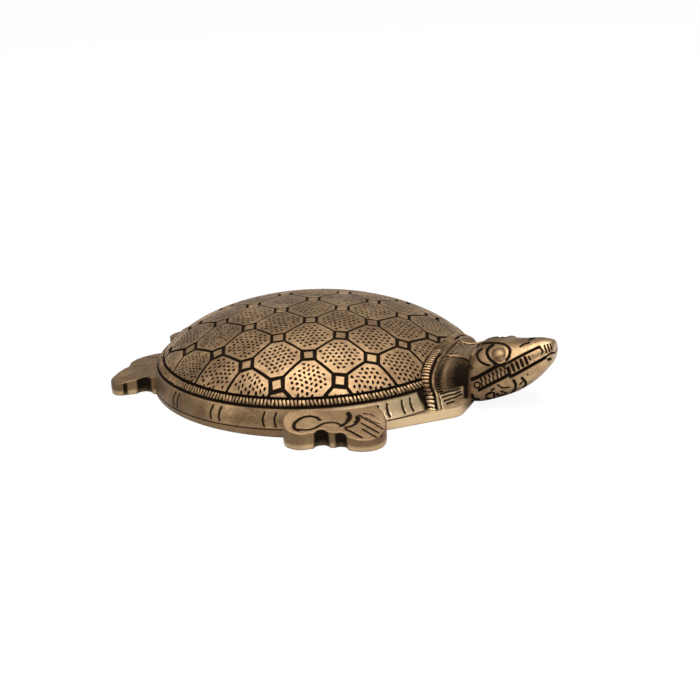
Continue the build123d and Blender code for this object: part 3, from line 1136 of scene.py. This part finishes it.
# the engraver's drawing of the right side, in a plane square to the cheek, mirrored on the left
drawingLook = {
    "middle": (80.0, -8.0, 15.0),
    "right": (0.9238, 0.3807, -0.0406),
    "up": (-0.0924, 0.3246, 0.9413),
    "fade": 1.7,
    "strokes": [      # half width, depth, line
        # brow, the arcs round the eye and the corner behind it
        (0.38, 0.5, [(-15.4, 4.4), (-14.5, 5.6), (-13.3, 6.6), (-11.9, 7.5), (-10.5, 8.1),
            (-9.1, 8.5), (-7.7, 8.6), (-5.9, 8.6), (-4.2, 8.6), (-2.4, 8.2), (-1.2, 7.3),
            (-0.7, 6.3), (-0.8, 5.1), (-1.2, 3.8), (-2.1, 2.6)]),
        (0.46, 0.6, [(-6.3, 7.9), (-7.7, 7.0), (-8.5, 6.1), (-8.7, 4.9), (-8.3, 3.7), (-7.5, 2.6),
            (-6.6, 1.9), (-5.9, 1.4)]),
        (0.36, 0.5, [(-10.3, 6.5), (-11.4, 5.6), (-12.1, 4.4), (-11.9, 3.1), (-11.2, 2.1),
            (-10.1, 1.4), (-8.9, 0.9), (-8.0, 0.7)]),
        (0.36, 0.5, [(-15.3, 3.6), (-15.9, 2.8), (-15.7, 1.7), (-15.0, 0.9), (-14.0, -0.3)]),
        (0.5, 0.5, [(-6.3, 1.4), (-5.2, 0.7), (-3.8, 0.7), (-2.4, 1.4)]),
        # both edges of the jaw's band, the mouth between them, and the ring at its corner
        (0.62, 0.8, [(-14.0, -4.2), (-11.9, -3.3), (-9.4, -1.9), (-7.3, -0.6), (-5.4, 0.4)]),
        (0.4, 0.6, [(-1.4, 1.7), (1.1, 3.1), (3.9, 4.6), (6.7, 6.0), (9.3, 7.2)]),
        (0.5, 0.75, [(-11.5, -7.9), (-9.4, -6.8), (-6.6, -5.3), (-3.8, -3.9), (-1.9, -2.8)]),
        (0.48, 0.75, [(-0.7, -3.2), (1.8, -1.9), (4.6, -0.3), (7.4, 1.3), (9.8, 2.6), (11.2, 3.5)]),
        (0.28, 0.4, [(11.2, 3.5), (12.6, 4.7), (13.7, 5.1), (14.9, 5.2)]),
        (0.5, 0.6, [(-1.6, -0.2), (-1.3, -1.4), (-0.9, -2.8)]),
        (0.24, 0.3, [(-11.2, -6.1), (-11.5, -6.9), (-12.2, -7.2), (-13.0, -6.9), (-13.3, -6.1),
            (-13.0, -5.4), (-12.2, -5.1), (-11.5, -5.4), (-11.2, -6.1)]),
    ],
    "marks": [      # half width, depth, lines
        # snout
        (0.26, 0.4, [[(9.3, 7.2), (9.8, 6.5), (10.4, 5.6), (9.9, 4.6)]]),
        (0.24, 0.4, [[(11.0, 7.7), (11.7, 5.2)], [(12.1, 8.0), (12.7, 5.7)],
                     [(13.1, 8.3), (13.6, 6.3)]]),
        (0.42, 0.4, [[(12.4, 2.8), (13.1, 3.0)]]),
        (0.26, 0.35, [[(2.8, 7.3), (4.0, 8.1), (6.1, 8.8)], [(5.5, 3.8), (6.0, 2.8)]]),
        (0.22, 0.25, [[(6.0, 9.6), (8.1, 10.3)]]),
        # under the mouth
        (0.4, 0.5, [[(0.4, -4.5), (1.2, -5.8), (1.3, -7.4), (0.0, -9.3)],
                    [(3.3, -3.7), (4.7, -5.1), (5.0, -6.1), (4.0, -7.5)]]),
        (0.26, 0.3, [[(5.2, -2.4), (5.3, -2.5)], [(2.8, -5.9), (3.5, -5.2)]]),
        (0.24, 0.3, [[(-5.1, -6.1), (-3.5, -7.2), (-1.0, -7.0)], [(-3.8, -8.4), (-1.6, -9.0)]]),
        (0.28, 0.35, [[(-3.5, -9.6), (-1.6, -10.4)]]),
        (0.3, 0.35, [[(-7.1, -7.9), (-6.3, -7.5)]]),
        (0.4, 0.35, [[(-1.7, -11.9), (0.4, -10.6)]]),
        (0.4, 0.45, [[(-13.8, -9.6), (-13.3, -11.0), (-11.3, -11.3)]]),
        (0.5, 0.4, [[(-14.0, -14.4), (-9.4, -14.5), (-5.9, -13.6), (-3.1, -12.4)]]),
        (0.4, 0.4, [
            [(-9.0, -9.8), (-8.0, -9.1), (-7.1, -8.8)], [(-8.8, -10.7), (-7.3, -11.2), (-8.0, -12.1)],
            [(-7.3, -12.3), (-5.2, -11.9), (-3.5, -11.4)],
        ]),
        (0.36, 0.4, [
            [(-6.3, -9.0), (-5.9, -10.3), (-6.3, -11.6)], [(-5.2, -9.3), (-3.9, -10.3), (-2.8, -10.1)],
            [(-4.7, -11.2), (-3.1, -10.9), (-2.4, -9.6)], [(-13.6, -11.9), (-12.5, -12.9)],
            [(-12.2, -11.5), (-10.8, -12.8), (-9.4, -13.1)], [(-11.4, -13.1), (-9.8, -11.9)],
        ]),
    ],
    # slanted marks in rows: half width, depth, first mark, step to the next, how many
    "rows": [
        (0.2, 0.35, [(-10.8, -5.4), (-10.3, -7.1)], (1.317, 0.717), 7),
        (0.28, 0.4, [(-11.1, -4.0), (-10.6, -4.8)], (1.333, 0.717), 7),
        (0.42, 0.5, [(-0.3, 1.0), (0.5, -1.1)], (1.5, 0.833), 4),
    ],
}


def engraveDrawing(piece, look):
    # every vertex that faces the drawing is cut by its distance to the lines
    strokes = list(look["strokes"])
    for halfWidth, depth, lines in look["marks"]:
        strokes += [(halfWidth, depth, line) for line in lines]
    for halfWidth, depth, line, step, count in look["rows"]:
        for number in range(count):
            strokes.append((halfWidth, depth, np.array(line) + np.array(step) * number))
    places, facing = points(piece), normals(piece)
    right, up = np.array(look["right"]), np.array(look["up"])
    toward = np.cross(right, up)
    cut, dark = np.zeros((2, len(places)))
    for side in (1, -1):
        mirrored = np.array([1, side, 1])
        own = places * mirrored - np.array(look["middle"])
        seen = (facing * mirrored) @ toward > 0.1
        seen &= (places[:, 1] * side < 4.0) & (places[:, 0] > 65.0)
        probe = np.stack([own @ right, own @ up], 1)
        sideCut, sideDark = strokeCuts(probe, strokes, look["fade"], seen)
        cut, dark = np.maximum(cut, sideCut), np.maximum(dark, sideDark)
    carve(piece, cut, dark)


def tintHead(piece, look):
    # painted shade makes the cove between collar and cheek nearly black, and a painted highlight makes
    # its lower facet bright
    x, y, z = points(piece).T
    forward = x - look["neckBack"] - collarLean(z)
    cove = falling(x, *look["coveFront"]) * rising(forward, *look["coveStart"])
    facet = falling(z, *look["facetTop"]) * falling(x, *look["facetFront"])
    topside = rising(z, *look["neckTop"]) * falling(np.abs(y), *look["neckSide"])
    deep = look["coveShade"] + 0.26 * rising(forward, 2.0, 4.0) - 0.16 * rising(z, 13.5, 3.0)
    dark = deep * cove * (1 - facet) * (1 - 0.85 * topside)
    # painted shade over the back of the head and the cheek
    start, end = look["cheekEnds"]
    cheek = look["cheekShade"] * rising(x, *start) * falling(x, *end)
    coat(piece, "patinaAndShade", np.maximum(dark, cheek))
    # a painted highlight under the jaw toward the front, and the snout polished by handling
    under, start = look["jawEnds"]
    jaw = look["jawHighlight"] * falling(z, *under) * rising(x, *start)
    snout = look["snoutBright"] * rising(x, *look["snoutStart"])
    lit = look["facetHighlight"] * facet * falling(x, 64.5, 1.0)
    coat(piece, "wearAndSheen", np.maximum(np.maximum(lit, jaw), snout))


def neckStrokes(piece, look, collar):
    # dots on the neck's top, short bars inside the arch, long lines on the lower facet
    dots = dotRows(6, 4, 56.8, -0.8, -1.6, 0.25)
    strokes = [(*collar["dot"], [spot]) for spot in dots]
    for number in range(20):
        wide, tall = archPoint(math.radians(6 + 4.2 * number), 2 / collar["square"])
        y, z = -23.7 * wide, 7.4 + 9.9 * tall
        x = look["neckBack"] + float(collarLean(z))
        strokes.append((0.36, 0.6, [(x + 0.2, y, z), (x + 2.6, y * 0.87, z - 0.2)]))
    places = points(piece)
    for z, start, end in ((4.9, 1.2, 3.0), (6.0, 0.9, 4.6), (7.2, 0.7, 5.0), (8.4, 0.6, 5.2)):
        line = []
        for forth in np.arange(start, end, 0.4):
            x = look["neckBack"] + float(collarLean(z)) + forth
            away = np.hypot(places[:, 0] - x, places[:, 2] - z) + 0.02 * places[:, 1]
            line.append((x, places[np.argmin(away), 1], z - 0.12 * forth))
        strokes.append((0.36, 0.4, line))
    return strokes


tintHead(head, headLook)
engraveDrawing(head, drawingLook)
engrave(head, dropOnto(head, neckStrokes(head, headLook, collarLook)), bothSides=True)
print("head engraved")

# flippers: outlines out from the rim and along it, strokes seen from above
flipperLooks = {
    "front": {
        "turnDegrees": 60.0,
        "leftTurnDegrees": 84.0,
        "leftScale": (1.0, 1.0),
        "rootHeight": 8.4,
        "outline": [(-4.5, -17.5), (0.0, -19.6), (5.8, -19.0), (8.9, -15.2), (8.6, -10.0),
                    (8.2, -6.4), (9.0, -4.8), (9.7, -2.4), (11.9, 0.6), (14.3, 4.2), (14.6, 8.8),
                    (12.0, 12.9), (7.0, 14.9), (0.0, 14.6), (-4.5, 12.0)],
        "hollows": [(8.3, -7.4, 2.9), (10.7, -1.4, 2.7)],
        "strokes": [
            (0.85, 0.7, [(34.7, -49.2), (35.9, -50.9), (35.9, -52.6)]),
            (0.8, 0.7, [(38.2, -49.9), (39.0, -51.3), (38.8, -52.6)]),
            (0.62, 0.55, [(22.4, -63.7), (20.9, -63.3), (20.0, -62.0), (19.7, -60.3),
                (20.4, -57.8), (21.7, -56.0), (23.4, -55.2), (25.5, -55.0),
                (27.0, -55.9)]),
            (0.46, 0.5, [(21.8, -63.2), (23.8, -62.9), (25.8, -61.9), (27.2, -60.4),
                (28.0, -58.6), (29.0, -57.0), (30.7, -55.9), (32.6, -55.3),
                (34.2, -55.6), (35.5, -55.8)]),
            (0.55, 0.6, [(34.5, -48.6), (35.6, -49.6), (36.3, -51.3), (36.0, -53.3),
                (35.5, -54.9), (34.8, -56.4)]),
            (0.5, 0.55, [(38.1, -49.3), (39.0, -50.2), (39.3, -51.7), (38.9, -53.6),
                (37.8, -55.4), (36.6, -56.4)]),
            (0.34, 0.45, [(38.4, -48.5), (41.7, -50.1), (45.1, -51.1), (48.6, -52.5)]),
            (0.38, 0.45, [(40.8, -52.3), (43.9, -53.5), (47.0, -54.6), (49.3, -55.5)]),
            (0.38, 0.45, [(42.2, -55.1), (45.0, -56.3), (47.8, -57.3)]),
            (0.5, 0.5, [(37.0, -57.2), (39.7, -58.0), (43.5, -59.3)]),
            (0.26, 0.35, [(39.4, -47.2), (41.6, -46.7), (43.3, -47.3)]),
            (0.22, 0.3, [(41.0, -49.0), (44.0, -50.0), (46.6, -50.4)]),
        ],
    },
    "rear": {
        "turnDegrees": 156.0,
        "leftTurnDegrees": 156.0,
        "leftScale": (0.98, 1.12),
        "rootHeight": 6.8,
        "outline": [(-4.5, -15.0), (0.6, -15.6), (5.2, -15.0), (8.6, -12.8), (9.9, -9.6),
                    (9.9, -7.6), (12.0, -5.4), (14.2, -1.6), (15.9, 4.4), (14.0, 9.8),
                    (9.9, 10.6), (7.0, 9.6), (3.5, 10.0), (-4.5, 12.0)],
        "hollows": [(2.6, 10.4, 3.2), (9.4, 11.4, 1.4)],
        "strokes": [
            (0.3, 0.4, [(-56.0, -27.2), (-58.2, -31.3), (-60.2, -34.7)]),
            (0.3, 0.4, [(-54.4, -28.8), (-56.0, -32.3), (-57.4, -34.2)]),
            (0.3, 0.4, [(-57.6, -24.4), (-61.0, -28.9), (-63.2, -33.0)]),
            (0.3, 0.4, [(-56.3, -20.5), (-61.3, -21.3), (-64.5, -21.8)]),
            (0.28, 0.35, [(-57.0, -14.5), (-61.0, -13.6), (-64.0, -13.0)]),
            (0.28, 0.35, [(-57.2, -17.5), (-61.5, -17.4), (-65.4, -17.2)]),
        ],
    },
    "outerHeight": 4.8,
    "slopeRun": 13.0,
    "hollowSet": 0.6,
    "voxel": 0.33,
    "soften": 10,
}


def rimPlace(turnDegrees, shell=shellLook):
    across = shell["rimRadius"] * shell["widthShare"]
    turn = math.radians(turnDegrees)
    spot = (shell["centre"] + shell["rimRadius"] * math.cos(turn), -across * math.sin(turn), 0)
    out = Vector((math.cos(turn) / shell["rimRadius"], -math.sin(turn) / across, 0)).normalized()
    return Matrix.Translation(spot) @ axes(out, Vector((-out.y, out.x, 0)), upward)


def makeFlipper(name, look, common):
    knots = np.array(look["outline"], float)
    run = runAlong(knots)
    edge = smoothPath(np.column_stack([run, knots]), np.linspace(0, run[-1], 150))
    flipper = prism(name, np.column_stack([edge, np.zeros(len(edge))]), (0, 0, 10))
    places = points(flipper)
    top = places[:, 2] > 5
    fall = (look["rootHeight"] - common["outerHeight"]) / common["slopeRun"]
    places[top, 2] = look["rootHeight"] - fall * np.clip(places[top, 0], -8, 99)
    setPoints(flipper, places)
    for out, aside, size in look["hollows"]:
        bpy.ops.mesh.primitive_cone_add(vertices=32, radius1=size, radius2=size * 0.45, depth=12)
        cutter = named("hollowCutter")
        cutter.data.transform(Matrix.Translation((out + common["hollowSet"], aside, 4)))
        cutAway(flipper, [cutter])
        discard(cutter)
    oneSkin(flipper, common["voxel"], common["soften"])
    # painted shade fills the hollows; the side walls are darker than the top, except their lower edge,
    # which is lighter
    own = points(flipper)
    flipper.data.transform(rimPlace(look["turnDegrees"]))
    hollowShade = np.zeros(len(own))
    for out, aside, size in look["hollows"]:
        away = np.hypot(own[:, 0] - out - common["hollowSet"], own[:, 1] - aside)
        hollowShade = np.maximum(hollowShade, falling(away, size * 1.15, size * 0.5))
    wall = falling(normals(flipper)[:, 2], 0.75, 0.5)
    lower = falling(own[:, 2], 2.6, 1.6)
    tarnish = 0.26 * (1 - wall) + 0.36 * wall * (1 - lower)
    coat(flipper, "patinaAndShade", np.maximum(0.95 * hollowShade * wall, tarnish))
    coat(flipper, "wearAndSheen", 0.3 * wall * lower)
    engrave(flipper, dropOnto(flipper, look["strokes"]))
    return flipper


flippers = []
for end in ("front", "rear"):
    look = flipperLooks[end]
    right = makeFlipper(end + "RightFlipper", look, flipperLooks)
    left = copyOf(right)
    left.name = left.data.name = end + "LeftFlipper"
    # in a walking pose the left front one stands further back, the left rear one is broader
    left.data.transform(rimPlace(look["leftTurnDegrees"]) @ scaled(*look["leftScale"], 1)
                        @ rimPlace(look["turnDegrees"]).inverted())
    setPoints(left, points(left) * np.array([1, -1, 1]))
    flippers += [(right, end + "_right_flipper"), (left, end + "_left_flipper")]
print("flippers made")


def finishBand(piece, look):
    # grime in the border's grooves, between the plates and along the seam
    tilt = math.radians(look["tiltDegrees"])
    x, y, z = points(piece).T
    up = -x * math.sin(tilt) + (z - look["seamHeight"]) * math.cos(tilt)
    dark = np.where(up > look["bandHeight"] - 0.2, 1.0, 0.0)
    coat(piece, "patinaAndShade", np.maximum(dark, falling(up, 0.6, 0.4)))
    strokes = []
    for side in (1, -1):
        for turnDegrees in look["ticks"]:
            line = []
            for share in (0.2, 0.4, 0.6, 0.8):
                bend = look["tickBendDegrees"] * share * (1 - share)
                turn = math.radians(turnDegrees - 90 - bend)
                radius = bandRadius(share)
                line.append((look["centre"] + radius * math.cos(turn),
                             side * radius * look["widthShare"] * math.sin(turn),
                             look["bandHeight"] * share))
            strokes.append((*look["tick"], tilted(line)))
    engrave(piece, strokes)
    # painted shade darkens the band toward the tail and a painted highlight brightens it near the neck
    band = falling(up, look["bandHeight"] - 0.3, 0.3)
    dark = look["bandTailShade"] * band * falling(x, 0, 30)
    coat(piece, "patinaAndShade", np.maximum(patinaAndShade(piece), dark))
    coat(piece, "wearAndSheen", look["bandNeckHighlight"] * band * rising(x, 22, 20))


finishBand(shellBody, shellLook)
for piece in (collarArch, collarBars):
    coat(piece, "wearAndSheen", 0.45 * falling(points(piece)[:, 2], 11, 6))
print("band ticks cut")

settle(shellBody, bandBrass, nodes=("carapace",))
settle(shellPlates, shellBrass)
settle(ropeBorder, bandBrass)
settle(collarArch, bandBrass, nodes=("neck_collar",))
settle(collarBars, bandBrass)
settle(head, headBrass, nodes=("head",))
for flipper, node in flippers:
    settle(flipper, headBrass, nodes=(node,))
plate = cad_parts["plastron"]
plate.data.materials.clear()
plate.data.materials.append(plateBrass)
print("all pieces finished")
